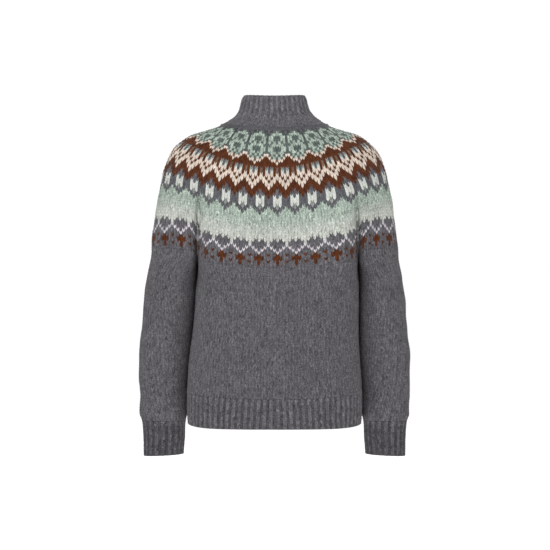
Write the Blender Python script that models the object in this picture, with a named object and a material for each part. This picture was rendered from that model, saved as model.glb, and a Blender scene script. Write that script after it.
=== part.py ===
"""A nordic yoke sweater, hollow and filled out as it is worn.

The form is worked out in millimetres and the meshes are in metres.
+Z is up, the front faces -Y and the back faces +Y.  The origin lies in the
middle of the neck opening, level with the tops of the shoulders, where the
wearer's shoulders hold the sweater.

The sweater is knitted in the round, so its pieces are tubes: a collar, a
yoke, a body, two sleeves, and ribbed bands at the hem and the wrists.
"""

import math
from types import SimpleNamespace

import bmesh
import bpy
import numpy as np

MM = 0.001

# Cloth
WALL = 3.0              # thickness of the plain knitting
RIB_WALL = 3.2          # thickness in the grooves of the ribs
SEAM = 0.3              # gap between pieces where they are knitted together
NECK_SEAM = 0.45        # the same at the neck, whose rings differ in their corners
RIB_RISE = 2.0          # how far a rib stands over its grooves
RIB_CREST = 0.5         # share of a rib's pitch that is its flat crest
RIB_FLANK = 0.14        # share of the pitch that each of its flanks takes

# Numbers of ribs round each band
COLLAR_RIBS = 36
HEM_RIBS = 84
CUFF_RIBS = 22

# Where the armhole crease runs down the yoke, and how wide it turns
BODY_TURN = 24.0        # from the crease towards the middle of the body
SLEEVE_TURN = 15.0      # from the crease towards the sleeve
UNDERARM_GAP = 0.4      # from the underarm line to each of the two tubes

# Points on a dense curve, before columns are read from it
DENSE = 120

# Columns of the solids: shares of the way from the middle to the crease,
# from the crease to the side, and under the arm
BODY_STEPS = (0.0, 0.14, 0.28, 0.42, 0.55, 0.67, 0.77, 0.86, 0.93, 0.97, 1.0)
SLEEVE_STEPS = (0.0, 0.05, 0.12, 0.24, 0.40, 0.56, 0.71, 0.86, 1.0)
BRIDGE_STEPS = (0.0, 0.2, 0.4, 0.6, 0.8, 1.0)

# Rounds of the yoke, from the row that joins body and sleeves (0) to the
# neck.  back and front are the middles of the two faces, side is the
# outermost point, square is the squareness of the plan, fall how the round
# drops from side to middle, crease_x, crease and sleeve the armhole crease:
# its place, its depth as a share, and how far the sleeve lies back.  tuck is
# how much higher the sleeve's side of the crease lies than the body's.
YOKE_COLUMNS = (
    "row back_y back_z front_y front_z side_x side_y side_z square fall crease_x crease sleeve"
    " tuck"
)
YOKE_ROWS = (
    (0, 111.0, -281.5, -125.0, -283.0, 242.0, 2.0, -237.0, 3.0, 1.9, 149.0, 0.32, 0.78, 13.0),
    (8, 112.5, -235.0, -126.0, -239.0, 234.0, 1.5, -187.0, 3.0, 1.8, 147.0, 0.21, 0.86, 12.0),
    (16, 113.0, -189.5, -126.0, -194.5, 226.0, 1.0, -134.0, 3.0, 1.6, 143.5, 0.08, 0.95, 5.0),
    (24, 111.0, -143.5, -123.5, -149.5, 215.0, 0.5, -82.0, 3.0, 1.35, 139.0, 0.0, 1.0, 0.0),
    (30, 107.5, -109.5, -119.5, -117.0, 197.5, 0.0, -47.5, 2.85, 1.2, 128.0, 0.0, 1.0, 0.0),
    (36, 101.5, -77.5, -113.0, -88.0, 168.5, 0.0, -24.0, 2.6, 1.05, 110.0, 0.0, 1.0, 0.0),
    (41, 94.0, -52.0, -104.0, -64.5, 143.0, 0.0, -15.3, 2.4, 1.0, 93.0, 0.0, 1.0, 0.0),
    (45, 85.4, -31.3, -94.6, -47.0, 124.0, 0.0, -9.2, 2.25, 1.0, 81.0, 0.0, 1.0, 0.0),
    (49, 74.0, -13.3, -84.5, -29.8, 104.5, 0.0, -2.5, 2.15, 1.0, 70.0, 0.0, 1.0, 0.0),
)
YOKE_RINGS = (49, 46.5, 44, 41, 38.5, 36, 33, 30, 27, 24, 18, 12, 7, 3, 0)
NECK_EDGE_ROWS = (49, 46)   # the cloth's slope at the neck is taken between these
TUCK_TURN = 22.0        # width over which the cloth steps up at the crease
TUCK_DIP = 0.45         # share of the step that the body's side dips
TUCK_START = 0.7        # the dip is full at this share of the way to the crease
JOIN_TURN = 80.0        # depth over which the join passes from its back to its front

# The body tube under the yoke, by height
BODY_COLUMNS = "height half_width back_y front_y square"
BODY_ROWS = (
    (-590.0, 169.5, 113.0, -125.0, 3.0),
    (-560.0, 171.5, 114.5, -126.5, 2.9),
    (-532.0, 171.8, 117.0, -128.5, 2.8),
    (-500.0, 170.2, 115.5, -127.0, 2.8),
    (-460.0, 167.2, 111.5, -124.5, 2.8),
    (-405.0, 160.5, 108.5, -122.5, 2.85),
    (-346.0, 155.2, 108.5, -123.0, 3.0),
    (-296.0, 152.3, 110.0, -124.5, 3.1),
    (-250.0, 149.0, 111.0, -125.0, 3.1),
)
BODY_PLAN = (160.0, 117.0, 2.8)     # typical oval that spaces the columns
BODY_RINGS = (0.0, 0.05, 0.12, 0.22, 0.36, 0.52, 0.68, 0.82, 0.93, 1.0)
BODY_BLEND = 70.0       # height over which the tube takes up the yoke's lower edge
HEM_TOP_MIDDLE = -532.0
HEM_TOP_SIDE = -525.0
HEM_BOTTOM = -589.5
HEM_CORNER = 3.5        # the lower edge turns up at its two corners
HEM_RINGS = (0.0, 1.0)
HEM_RELIEF = (0.8, 1.0)

# The sleeve tube, by height; the other sleeve is its mirror image
SLEEVE_COLUMNS = "height centre_x centre_y half_width half_depth square"
SLEEVE_ROWS = (
    (-660.0, 221.0, -37.0, 39.4, 27.0, 2.2),
    (-625.0, 220.0, -34.5, 41.2, 28.5, 2.2),
    (-584.0, 220.2, -31.0, 43.6, 31.5, 2.2),
    (-574.0, 221.0, -30.0, 46.4, 37.0, 2.2),
    (-555.0, 221.0, -30.0, 46.6, 40.5, 2.2),
    (-523.0, 221.8, -29.0, 46.8, 43.5, 2.25),
    (-484.0, 220.6, -28.0, 48.6, 47.0, 2.35),
    (-444.0, 217.6, -26.0, 50.2, 51.0, 2.45),
    (-405.0, 213.4, -22.0, 50.1, 56.0, 2.5),
    (-346.0, 207.6, -16.0, 50.0, 63.0, 2.6),
    (-296.0, 202.6, -8.0, 48.4, 69.0, 2.6),
    (-250.0, 196.6, 0.0, 46.0, 72.0, 2.6),
)
SLEEVE_PLAN = (60.0, 46.0, 2.3)
SLEEVE_RINGS = (0.0, 0.03, 0.08, 0.16, 0.26, 0.37, 0.48, 0.59, 0.70, 0.81, 0.90, 0.96, 1.0)
SLEEVE_BLEND = 60.0
SLEEVE_END = -584.0
CUFF_DEPTH = 69.5
CUFF_SLANT = 0.05       # the inner edge of the wrist ends a little higher
CUFF_RINGS = (0.0, 0.08, 0.5, 1.0)
CUFF_RELIEF = (0.6, 1.0, 1.0, 1.0)

# The collar, from the neck edge of the yoke to its top edge: how far up,
# the half width, the middle of its back and front, and the share of a rib's
# full relief
COLLAR_COLUMNS = "up half_width side_z back_y back_z front_y front_z relief"
COLLAR_ROWS = (
    (0.0, 104.5, -2.5, 74.0, -13.3, -84.5, -29.8, 0.25),
    (1.0, 92.0, 5.5, 70.2, -6.5, -81.5, -23.5, 0.35),
    (2.0, 79.0, 15.0, 65.8, 2.5, -78.0, -14.0, 0.5),
    (3.0, 70.5, 26.0, 60.8, 15.0, -74.0, -1.0, 0.75),
    (4.0, 66.0, 40.0, 56.0, 31.0, -70.0, 16.0, 1.0),
    (5.0, 63.0, 52.0, 52.5, 46.5, -67.0, 33.5, 1.0),
    (5.5, 59.5, 57.0, 50.0, 52.0, -64.0, 40.0, 0.7),
)
COLLAR_SQUARE = 2.15
COLLAR_PLAN = (90.0, 74.0, COLLAR_SQUARE)
COLLAR_RINGS = (5.5, 5.1, 4.0, 3.0, 2.0, 1.0, 0.0)

# The largest soft folds.  around and height are the middle of a fold, slope
# turns it from level, and its depth is negative where the cloth bulges out.
# around runs from 0 at the outside of a sleeve, forwards, inwards and back
# to 1, and on the body from 0 at the middle of the back, over the left side.
FOLD_COLUMNS = "around height slope half_length half_width depth"
FOLDS = {
    "body": (
        (0.150, -470.0, 1.2, 70.0, 22.0, 4.0),
        (0.870, -450.0, -1.1, 80.0, 24.0, 5.0),
        (0.060, -505.0, 0.2, 60.0, 16.0, 2.5),
        (0.400, -440.0, 0.8, 80.0, 24.0, 4.0),
        (0.590, -470.0, -0.9, 70.0, 22.0, 4.0),
    ),
    "sleeve_left": (
        (0.800, -335.0, 0.6, 36.0, 15.0, 5.0),
        (0.700, -410.0, 0.35, 40.0, 15.0, 5.5),
        (0.880, -545.0, 0.15, 34.0, 12.0, 3.0),
        (0.200, -400.0, -0.4, 40.0, 16.0, 4.0),
    ),
    "sleeve_right": (
        (0.770, -350.0, 0.5, 38.0, 16.0, 5.0),
        (0.840, -430.0, 0.3, 34.0, 14.0, 4.5),
        (0.690, -500.0, 0.3, 36.0, 14.0, 4.0),
        (0.240, -385.0, -0.3, 40.0, 16.0, 4.0),
    ),
}

# Colours of the yarns, as the object is coloured apart from its pattern
HEATHER_GREY = (0.125, 0.118, 0.126, 1.0)
YOKE_SAGE = (0.46, 0.53, 0.46, 1.0)
KNIT_ROUGHNESS = 0.95
SHARP_ANGLE = 40.0      # edges that turn by more degrees are shaded as sharp


class Table:
    """Rows of named columns, read between the rows along a smooth curve."""

    def __init__(self, columns, rows):
        self.names = columns.split()
        self.rows = np.array(rows, dtype=float)
        self.key = self.rows[:, 0]
        steps = np.diff(self.rows, axis=0) / np.diff(self.key)[:, None]
        inner = (steps[1:] + steps[:-1]) / 2
        self.slopes = np.vstack([steps[:1], inner, steps[-1:]])

    def at(self, place):
        """Every column at a place, or at an array of places."""
        place = np.clip(place, self.key[0], self.key[-1])
        low = np.clip(np.searchsorted(self.key, place) - 1, 0, len(self.key) - 2)
        span = self.key[low + 1] - self.key[low]
        t = ((place - self.key[low]) / span)[..., None]
        span = span[..., None]
        start, end = self.rows[low], self.rows[low + 1]
        values = (
            start * (1 - 3 * t**2 + 2 * t**3)
            + end * (3 * t**2 - 2 * t**3)
            + self.slopes[low] * span * (t - 2 * t**2 + t**3)
            + self.slopes[low + 1] * span * (t**3 - t**2)
        )
        return SimpleNamespace(**{name: values[..., i] for i, name in enumerate(self.names)})


YOKE = Table(YOKE_COLUMNS, YOKE_ROWS)
BODY = Table(BODY_COLUMNS, BODY_ROWS)
SLEEVE = Table(SLEEVE_COLUMNS, SLEEVE_ROWS)
COLLAR = Table(COLLAR_COLUMNS, COLLAR_ROWS)


def ease(t):
    """0 to 1 with level ends."""
    t = np.clip(t, 0.0, 1.0)
    return t * t * (3 - 2 * t)


def lengths(points):
    """Length along a row of points, from 0."""
    steps = np.linalg.norm(np.diff(points, axis=0), axis=1)
    return np.concatenate([[0.0], np.cumsum(steps)])


def along(points, shares):
    """Points at shares of the length of a curve."""
    run = lengths(points)
    at = np.asarray(shares) * run[-1]
    return np.stack([np.interp(at, run, points[:, i]) for i in range(3)], axis=-1)


def mirrored(points):
    """A row of points on the other side of the sweater, in reverse order."""
    return points[::-1] * np.array([-1.0, 1.0, 1.0])


def whole_round(half):
    """A closed round from its left half, which runs from back to front."""
    return np.vstack([half, mirrored(half)[1:-1]])


# The yoke

def tuck(x, row):
    """How far a round of the yoke steps up at the armhole crease, over any point."""
    rise = ease((x - row.crease_x) / TUCK_TURN + 0.5)
    dip = TUCK_DIP * ease(x / (TUCK_START * row.crease_x))
    return row.tuck * ((1 - TUCK_DIP) * rise - dip * (1 - rise))


def join_height(x, y):
    """Height of the row that joins body, sleeves and yoke, over any point."""
    join = YOKE.at(0.0)
    fall = (1 - np.clip(np.abs(x) / join.side_x, 0, 1) ** 2) ** join.fall
    back = join.side_z + (join.back_z - join.side_z) * fall
    front = join.side_z + (join.front_z - join.side_z) * fall
    share = np.clip(0.5 + y / JOIN_TURN, 0, 1)
    return front + (back - front) * share + tuck(np.abs(x), join)


def yoke_quarter(row, facing):
    """One quarter of a round on the left side, in two runs.

    facing is 1 at the back and -1 at the front.  The first run goes from the
    middle to the armhole crease, the second from the crease to the side.
    """
    r = YOKE.at(float(row))
    middle_y = r.back_y if facing > 0 else r.front_y
    middle_z = r.back_z if facing > 0 else r.front_z
    start = math.asin(r.crease_x / r.side_x)
    runs = (
        r.crease_x * np.linspace(0.0, 1.0, DENSE),
        r.side_x * np.sin(np.linspace(start, math.pi / 2, DENSE)),
    )
    low = 1 - r.crease
    pulls = (
        1 - r.crease * ease(1 - (r.crease_x - runs[0]) / BODY_TURN),
        low + (r.sleeve - low) * ease((runs[1] - r.crease_x) / SLEEVE_TURN),
    )
    curves = []
    for x, pull in zip(runs, pulls):
        out = np.clip(x / r.side_x, 0.0, 1.0)
        share = np.maximum(1 - out**r.square, 0.0) ** (1 / r.square)
        y = r.side_y + (middle_y - r.side_y) * share * pull
        z = r.side_z + (middle_z - r.side_z) * (1 - out**2) ** r.fall + tuck(x, r)
        curves.append(np.stack([x, y, z], axis=-1))
    return curves


def yoke_ring(row):
    """The columns of a round of the yoke, from the back over the left side."""
    back_body, back_sleeve = yoke_quarter(row, 1)
    front_body, front_sleeve = yoke_quarter(row, -1)
    half = np.vstack([
        along(back_body, BODY_STEPS),
        along(back_sleeve, SLEEVE_STEPS)[1:],
        along(front_sleeve, SLEEVE_STEPS)[::-1][1:],
        along(front_body, BODY_STEPS)[::-1][1:],
    ])
    return whole_round(half)


def neck_frame(points):
    """Inward and upward directions of the cloth at points of the neck edge."""
    rounds = []
    for row in NECK_EDGE_ROWS:
        half = np.vstack([
            np.vstack(yoke_quarter(row, 1)),
            np.vstack(yoke_quarter(row, -1))[::-1],
        ])
        turn = np.arctan2(half[:, 0], half[:, 1])
        rounds.append((turn, half))
    around = np.arctan2(np.abs(points[:, 0]), points[:, 1])
    edge, below = (
        np.stack([np.interp(around, turn, half[:, i]) for i in range(3)], axis=-1)
        for turn, half in rounds
    )
    flip = np.where(points[:, :1] < 0, np.array([-1.0, 1.0, 1.0]), 1.0)
    up = (edge - below) * flip
    ahead = np.roll(points, -1, axis=0) - np.roll(points, 1, axis=0)
    inward = np.cross(up, ahead)
    inward /= np.linalg.norm(inward, axis=1, keepdims=True)
    up = np.cross(ahead, inward)
    return inward, up / np.linalg.norm(up, axis=1, keepdims=True)


# The tubes under the yoke

def bridge(offset):
    """Under the arm, from the back crease to the front crease, set over by offset."""
    start = yoke_quarter(0, 1)[0][-1]
    end = yoke_quarter(0, -1)[0][-1]
    share = np.linspace(0.0, 1.0, DENSE)[:, None]
    line = start + (end - start) * share
    line[1:-1, 0] += offset
    return line


def body_top():
    """Dense left half of the body's upper edge, and the shares of its columns."""
    runs = (
        (yoke_quarter(0, 1)[0], BODY_STEPS),
        (bridge(-UNDERARM_GAP), BRIDGE_STEPS),
        (yoke_quarter(0, -1)[0][::-1], [1 - s for s in reversed(BODY_STEPS)]),
    )
    return joined_runs(runs)


def sleeve_top():
    """Dense upper edge of the left sleeve, from its outside, and its columns."""
    forwards = [1 - s for s in reversed(SLEEVE_STEPS)]
    runs = (
        (yoke_quarter(0, -1)[1][::-1], forwards),
        (bridge(UNDERARM_GAP)[::-1], BRIDGE_STEPS),
        (yoke_quarter(0, 1)[1], SLEEVE_STEPS),
    )
    return joined_runs(runs)


def joined_runs(runs):
    """One curve from several, with each one's columns as shares of the whole."""
    totals = [lengths(curve)[-1] for curve, _ in runs]
    whole = sum(totals)
    shares, done = [0.0], 0.0
    for (_, steps), total in zip(runs, totals):
        shares += [(done + step * total) / whole for step in list(steps)[1:]]
        done += total
    curve = np.vstack([runs[0][0]] + [c[1:] for c, _ in runs[1:]])
    return curve, np.array(shares)


def oval_angles(shares, half_width, half_depth, square):
    """Turns of an oval that lie at shares of its length, from turn 0."""
    turn = np.linspace(0.0, 2 * math.pi, 4 * DENSE)
    curve = oval(turn, half_width, half_depth, half_depth, square)
    run = lengths(np.column_stack([*curve, np.zeros_like(turn)]))
    return np.interp(np.asarray(shares) * run[-1], run, turn)


def oval(turn, half_width, back, front, square):
    """Plan of a squared oval; turn 0 is the back and a quarter turn the left."""
    sine, cosine = np.sin(turn), np.cos(turn)
    power = 2.0 / square
    x = half_width * np.sign(sine) * np.abs(sine) ** power
    reach = np.where(cosine > 0, back, front)
    y = reach * np.sign(cosine) * np.abs(cosine) ** power
    return x, y


def folded(points, name, around):
    """The grid of points with the piece's soft folds pressed into it."""
    normals = grid_normals(points)
    closed = np.concatenate([points, points[:, :1]], axis=1)
    steps = np.linalg.norm(np.diff(closed, axis=1), axis=2)
    girth = steps.sum(axis=1)[:, None]
    run = around[None, :] * girth
    push = np.zeros(points.shape[:2])
    for row in FOLDS[name]:
        fold = SimpleNamespace(**dict(zip(FOLD_COLUMNS.split(), row)))
        across = run - fold.around * girth
        across = (across + girth / 2) % girth - girth / 2
        up = points[..., 2] - fold.height
        tilt = math.atan(fold.slope)
        lengthways = across * math.cos(tilt) + up * math.sin(tilt)
        sideways = up * math.cos(tilt) - across * math.sin(tilt)
        bell = (lengthways / fold.half_length) ** 2 + (sideways / fold.half_width) ** 2
        push += fold.depth * np.exp(-bell)
    fade = np.ones(len(points))
    fade[0] = fade[-1] = 0.0
    return points - normals * (push * fade[:, None])[..., None]


def hem_height(x):
    """Height of the upper edge of the hem band: it rises a little at the sides."""
    out = np.clip(np.abs(x) / BODY.at(HEM_TOP_MIDDLE).half_width, 0, 1)
    return HEM_TOP_MIDDLE + (HEM_TOP_SIDE - HEM_TOP_MIDDLE) * out**2


def hem_edge(x):
    """Height of the lower edge of the hem band."""
    out = np.clip(np.abs(x) / BODY.at(HEM_BOTTOM).half_width, 0, 1)
    return HEM_BOTTOM + HEM_CORNER * out**8


def body_oval(shares, height):
    """Plan of the body at a height, at shares of its length."""
    b = BODY.at(height)
    turn = oval_angles(shares, *BODY_PLAN)
    return oval(turn, b.half_width, b.back_y, -b.front_y, b.square)


def body_grid():
    """Rings of the body tube from the yoke's lower edge to the hem band."""
    half, shares = body_top()
    top = whole_round(along(half, shares))
    shares = np.concatenate([shares / 2, 1 - shares[::-1][1:-1] / 2])
    top[:, 2] = join_height(top[:, 0], top[:, 1]) - SEAM
    bottom_x, _ = body_oval(shares, HEM_TOP_MIDDLE)
    bottom = hem_height(bottom_x)
    rings = []
    for down in BODY_RINGS:
        z = top[:, 2] + (bottom - top[:, 2]) * down
        x, y = body_oval(shares, z)
        blend = ease((top[:, 2] - z) / BODY_BLEND)
        plan = np.stack([x, y], axis=-1)
        plan = top[:, :2] + (plan - top[:, :2]) * blend[:, None]
        rings.append(np.column_stack([plan, z]))
    return folded(np.array(rings), "body", shares)


def sleeve_oval(shares, height):
    """Plan of the left sleeve at a height, from its outside, forwards."""
    s = SLEEVE.at(height)
    turn = oval_angles(shares, *SLEEVE_PLAN)
    y, x = oval(turn, s.half_depth, s.half_width, s.half_width, s.square)
    return s.centre_x + x, s.centre_y - y


def sleeve_grid(name):
    """Rings of a left sleeve from the yoke's lower edge to the wrist."""
    curve, shares = sleeve_top()
    shares = shares[:-1]
    top = along(curve, shares)
    top[:, 2] = join_height(top[:, 0], top[:, 1]) - SEAM
    rings = []
    for down in SLEEVE_RINGS:
        z = top[:, 2] + (SLEEVE_END - top[:, 2]) * down
        x, y = sleeve_oval(shares, z)
        blend = ease((top[:, 2] - z) / SLEEVE_BLEND)
        plan = np.stack([x, y], axis=-1)
        plan = top[:, :2] + (plan - top[:, :2]) * blend[:, None]
        rings.append(np.column_stack([plan, z]))
    return folded(np.array(rings), name, shares)


# Ribbed bands

def rib_shares(ribs):
    """Shares round a ribbed band and the rise at each: groove, crest, crest, groove."""
    groove = (1 - RIB_CREST - 2 * RIB_FLANK) / 2
    corners = (groove, groove + RIB_FLANK, 1 - groove - RIB_FLANK, 1 - groove)
    shares = np.array([(rib + corner) / ribs for rib in range(ribs) for corner in corners])
    return shares, np.tile((0.0, 1.0, 1.0, 0.0), ribs)


def hem_grid(shares):
    """Rings of the hem band, under the body."""
    x, _ = body_oval(shares, HEM_TOP_MIDDLE)
    top, bottom = hem_height(x) - SEAM, hem_edge(x)
    rings = []
    for down in HEM_RINGS:
        z = top + (bottom - top) * down
        x, y = body_oval(shares, z)
        rings.append(np.column_stack([x, y, z]))
    return np.array(rings)


def cuff_grid(shares):
    """Rings of the left wrist band, under its sleeve."""
    rings = []
    for down in CUFF_RINGS:
        z = np.full(len(shares), SLEEVE_END - SEAM - CUFF_DEPTH * down)
        x, y = sleeve_oval(shares, z)
        z += CUFF_SLANT * down * (SLEEVE.at(SLEEVE_END).centre_x - x)
        rings.append(np.column_stack([x, y, z]))
    return np.array(rings)


def collar_grid(shares):
    """Rings of the collar, from its top edge to the neck edge of the yoke."""
    turn = oval_angles(shares, *COLLAR_PLAN)
    rings = []
    for up in COLLAR_RINGS:
        c = COLLAR.at(up)
        x, y = oval(turn, c.half_width, c.back_y, -c.front_y, COLLAR_SQUARE)
        out = np.clip(np.abs(x) / c.half_width, 0, 1)
        middle_z = np.where(y > 0, c.back_z, c.front_z)
        z = c.side_z + (middle_z - c.side_z) * (1 - out**2)
        rings.append(np.column_stack([x, y, z]))
    return np.array(rings)


# Walls

def grid_normals(points):
    """Outward directions of a grid of rings that runs downwards."""
    around = np.roll(points, -1, axis=1) - np.roll(points, 1, axis=1)
    down = np.gradient(points, axis=0)
    normals = np.cross(around, down)
    return normals / np.linalg.norm(normals, axis=2, keepdims=True)


def closed_wall(name, outer, inner, colour):
    """One closed solid from an outer and an inner grid of rings.

    The outer rings may have a whole number of points for each inner one.
    """
    mesh = bmesh.new()
    walls = []
    for grid in (outer, inner):
        walls.append([[mesh.verts.new(p * MM) for p in ring] for ring in grid])
    for wall, facing in zip(walls, (1, -1)):
        for upper, lower in zip(wall[:-1], wall[1:]):
            for j in range(len(upper)):
                after = (j + 1) % len(upper)
                mesh.faces.new((upper[j], upper[after], lower[after], lower[j])[::facing])
    for end, facing in ((0, -1), (-1, 1)):
        outside, inside = walls[0][end], walls[1][end]
        ratio = len(outside) // len(inside)
        for j in range(len(inside)):
            after = (j + 1) % len(inside)
            run = [outside[(j * ratio + k) % len(outside)] for k in range(ratio + 1)]
            split = (ratio + 1) // 2
            for k in range(ratio):
                near = inside[j] if k < split else inside[after]
                mesh.faces.new((run[k], run[k + 1], near)[::facing])
            mesh.faces.new((run[split], inside[after], inside[j])[::facing])
    bmesh.ops.triangulate(mesh, faces=[f for f in mesh.faces if len(f.verts) > 3])
    data = bpy.data.meshes.new(name)
    mesh.to_mesh(data)
    mesh.free()
    data.shade_smooth()
    data.set_sharp_from_angle(angle=math.radians(SHARP_ANGLE))
    data.materials.append(knit_material(name, colour))
    part = bpy.data.objects.new(name, data)
    sweater.objects.link(part)
    return part


def knit_material(name, colour):
    material = bpy.data.materials.new(f"{name}_yarn")
    material.use_nodes = True
    shader = material.node_tree.nodes["Principled BSDF"]
    shader.inputs["Base Color"].default_value = colour
    shader.inputs["Roughness"].default_value = KNIT_ROUGHNESS
    shader.inputs["Metallic"].default_value = 0.0
    return material


def plain_wall(name, outer, colour):
    """A knitted wall of even thickness inside its outer form."""
    inner = outer - grid_normals(outer) * WALL
    keep_edges(name, outer, inner)
    return closed_wall(name, outer, inner, colour)


def keep_edges(name, outer, inner):
    """Set the inner wall's ends so that neighbours meet along one seam."""
    if name == "yoke":
        inner[0] = outer[0] + neck_frame(outer[0])[0] * WALL
        inner[-1, :, 2] = join_height(inner[-1, :, 0], inner[-1, :, 1])
    elif name in ("body", "sleeve_left", "sleeve_right"):
        inner[0, :, 2] = join_height(inner[0, :, 0], inner[0, :, 1]) - SEAM
        inner[-1, :, 2] = outer[-1, :, 2]


def ribbed_wall(name, grid, ribs, relief, colour, right=False, inside_every=2):
    """A wall with raised ribs outside and a plain inside.

    The inside has one column for every inside_every columns of the outside.
    """
    shares, rise = rib_shares(ribs)
    form = grid(shares)
    outward = grid_normals(form)
    inside_form = grid(shares[::inside_every])
    inner = inside_form - grid_normals(inside_form) * RIB_WALL
    if name == "collar":
        inward, up = neck_frame(form[-1])
        form[-1] += up * NECK_SEAM
        outward[-1] = -inward
        inward, up = neck_frame(inside_form[-1])
        inner[-1] = inside_form[-1] + up * NECK_SEAM + inward * RIB_WALL
    else:
        inner[-1, :, 2] = inside_form[-1, :, 2]
        inner[0, :, 2] = inside_form[0, :, 2]
    outer = form + outward * (rise * RIB_RISE * relief[:, None])[..., None]
    for end in (0, -1):
        if name != "collar":
            outer[end, :, 2] = form[end, :, 2]
    if right:
        outer, inner = flipped(outer), flipped(inner)
    return closed_wall(name, outer, inner, colour)


def flipped(rings):
    """A left piece's rings on the right side, still running clockwise."""
    return np.roll(rings[:, ::-1], 1, axis=1) * np.array([-1.0, 1.0, 1.0])


# Start from an empty scene
for old in list(bpy.data.objects):
    bpy.data.objects.remove(old, do_unlink=True)
sweater = bpy.data.collections.new("nordic_yoke_sweater")
bpy.context.scene.collection.children.link(sweater)

# Yoke
plain_wall("yoke", np.array([yoke_ring(row) for row in YOKE_RINGS]), YOKE_SAGE)

# Body and sleeves
plain_wall("body", body_grid(), HEATHER_GREY)
plain_wall("sleeve_left", sleeve_grid("sleeve_left"), HEATHER_GREY)
plain_wall("sleeve_right", flipped(sleeve_grid("sleeve_right")), HEATHER_GREY)

# Ribbed bands, with less relief where they meet the plain knitting
ribbed_wall("hem_rib", hem_grid, HEM_RIBS, np.array(HEM_RELIEF), HEATHER_GREY, inside_every=4)
ribbed_wall("cuff_left", cuff_grid, CUFF_RIBS, np.array(CUFF_RELIEF), HEATHER_GREY)
ribbed_wall("cuff_right", cuff_grid, CUFF_RIBS, np.array(CUFF_RELIEF), HEATHER_GREY, right=True)

# Collar
collar_relief = COLLAR.at(np.array(COLLAR_RINGS)).relief
ribbed_wall("collar", collar_grid, COLLAR_RIBS, collar_relief, HEATHER_GREY)
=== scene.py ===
# %% [markdown]
# # A nordic yoke sweater
# This sweater is knitted in the round: a body and two sleeves are joined under
# one round yoke, which carries bands of colourwork and narrows to the neck.
# The bands at the neck, hem and wrists are knitted in rib.  The cells below
# build it as a knitter would, piece by piece, and every stitch is a small
# raised V of its own, because close up that is what wool knitting looks like.
# All lengths are worked out in millimetres and turned into metres at the end.

# %% Blender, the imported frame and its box
import math
from types import SimpleNamespace

import bpy
import numpy as np
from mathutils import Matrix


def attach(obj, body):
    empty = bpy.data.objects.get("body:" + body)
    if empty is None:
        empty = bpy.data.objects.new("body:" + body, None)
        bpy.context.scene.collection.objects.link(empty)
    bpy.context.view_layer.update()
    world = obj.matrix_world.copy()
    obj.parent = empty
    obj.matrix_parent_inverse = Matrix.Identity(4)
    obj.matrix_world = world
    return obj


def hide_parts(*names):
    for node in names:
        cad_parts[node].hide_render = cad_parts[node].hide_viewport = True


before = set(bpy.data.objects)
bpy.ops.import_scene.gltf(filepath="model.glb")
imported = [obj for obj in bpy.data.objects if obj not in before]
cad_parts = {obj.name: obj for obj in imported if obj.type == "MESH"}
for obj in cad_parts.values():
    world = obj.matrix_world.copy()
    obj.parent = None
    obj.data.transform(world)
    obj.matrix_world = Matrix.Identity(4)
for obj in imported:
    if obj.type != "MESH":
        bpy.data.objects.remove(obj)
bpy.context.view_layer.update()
MM = 0.001
print("nodes to dress:", sorted(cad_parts))

# %% [markdown]
# ## The worn form
# The cloth hangs in soft rounds on the shoulders.  Such a form could be sculpted,
# but a short table of sections is easier to change: each row gives one height,
# and a smooth curve is read between the rows.  The tables are those of the
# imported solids, but for the sides of the yoke: there the rounds are slid down the
# same outline, so that the bands of colour fall lower over the sleeves.

# %% Reading a table along a smooth curve
def named(columns, values):
    """Values by the names of their columns."""
    return SimpleNamespace(**dict(zip(columns.split(), values)))


class Table:
    """Rows of named columns, read between the rows along a smooth curve."""

    def __init__(self, columns, rows):
        self.columns = columns
        self.rows = np.array(rows, dtype=float)
        self.key = self.rows[:, 0]
        steps = np.diff(self.rows, axis=0) / np.diff(self.key)[:, None]
        inner = (steps[1:] + steps[:-1]) / 2
        self.slopes = np.vstack([steps[:1], inner, steps[-1:]])

    def at(self, place):
        place = np.clip(place, self.key[0], self.key[-1])
        low = np.clip(np.searchsorted(self.key, place) - 1, 0, len(self.key) - 2)
        span = (self.key[low + 1] - self.key[low])[..., None]
        t = (place - self.key[low])[..., None] / span
        values = (
            self.rows[low] * (1 - 3 * t**2 + 2 * t**3)
            + self.rows[low + 1] * (3 * t**2 - 2 * t**3)
            + self.slopes[low] * span * (t - 2 * t**2 + t**3)
            + self.slopes[low + 1] * span * (t**3 - t**2)
        )
        return named(self.columns, np.moveaxis(values, -1, 0))


# %% Sections of the sweater
YOKE = Table((
    "row back_y back_z front_y front_z side_x side_y side_z square fall crease_x crease sleeve"
    " tuck"
), (
    (0, 111, -281.5, -125, -283, 242.3, 2, -257.5, 3, 3, 149, 0.32, 0.78, 18),
    (8, 112.5, -235, -126, -239, 235.5, 1.5, -200.5, 3, 2.4, 147, 0.21, 0.86, 15),
    (16, 113, -189.5, -126, -194.5, 227.6, 1, -146.5, 3, 1.8, 143.5, 0.08, 0.95, 7),
    (24, 111, -144, -123.5, -150, 217.7, 0.5, -93, 3, 1.4, 139, 0, 1, 0),
    (30, 107.5, -109.5, -119.5, -117, 200, 0, -51.5, 2.85, 1.2, 128, 0, 1, 0),
    (36, 101.5, -77.5, -113, -88, 168.5, 0, -24, 2.6, 1.05, 110, 0, 1, 0),
    (41, 94, -52, -104, -64.5, 143, 0, -15.3, 2.4, 1, 93, 0, 1, 0),
    (45, 85.4, -31.3, -94.6, -47, 124, 0, -9.2, 2.25, 1, 81, 0, 1, 0),
    (49, 74, -13.3, -84.5, -29.8, 104.5, 0, -2.5, 2.15, 1, 70, 0, 1, 0),
))
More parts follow.
